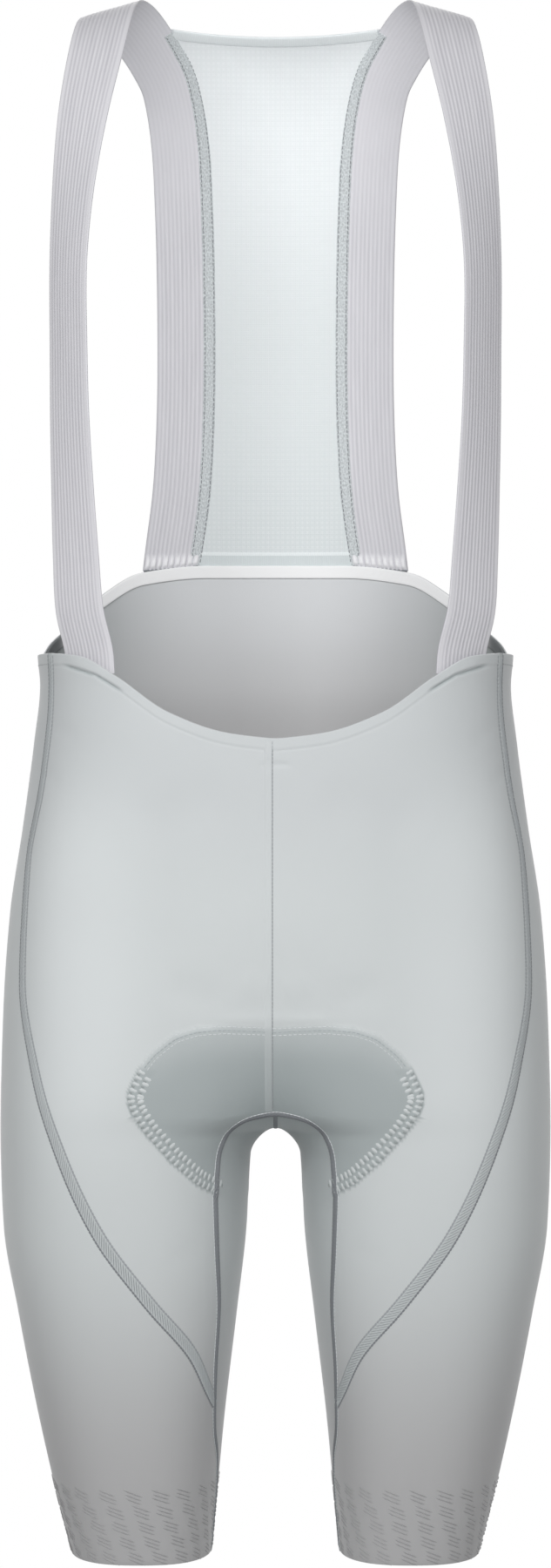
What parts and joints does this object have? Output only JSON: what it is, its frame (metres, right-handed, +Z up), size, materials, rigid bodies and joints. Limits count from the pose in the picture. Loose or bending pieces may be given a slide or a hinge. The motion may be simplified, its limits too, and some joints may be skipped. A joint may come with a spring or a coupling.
{
  "type": "cycling bib shorts",
  "caption": "Worn, hollow bib shorts for cycling: stretch panels from waist to mid-thigh, a seat pad inside, and wide ribbed elastic shoulder straps joined by a mesh panel at the back.",
  "frame": {"origin": "midway between the two shoulder straps, at the height of the straps' inner corners where they cross the shoulders, in the plane in which the straps are highest", "axes": "+Z up along the body, +X to the right of a viewer who stands in front of the garment, front facing -Y"},
  "size_m": [0.3526, 0.2317, 0.9945],
  "materials": {
    "stretch_knit": "fine matt knit of nylon and elastane with a faint sheen",
    "ribbed_elastic": "matt elastic ribbed along its length, with smooth edges",
    "mesh_knit": "matt knit with an even grid of very small openings",
    "white_elastic": "matt flat elastic",
    "pad_foam": "brushed knit over soft foam"
  },
  "bodies": {
    "root": {"front_panel_left": "stretch_knit", "front_panel_right": "stretch_knit", "back_panel": "stretch_knit", "inner_leg_panel_left": "stretch_knit", "inner_leg_panel_right": "stretch_knit", "strap_left": "ribbed_elastic", "strap_right": "ribbed_elastic", "back_mesh_panel": "mesh_knit", "waist_band": "white_elastic", "pad": "pad_foam"}
  },
  "joints": []
}
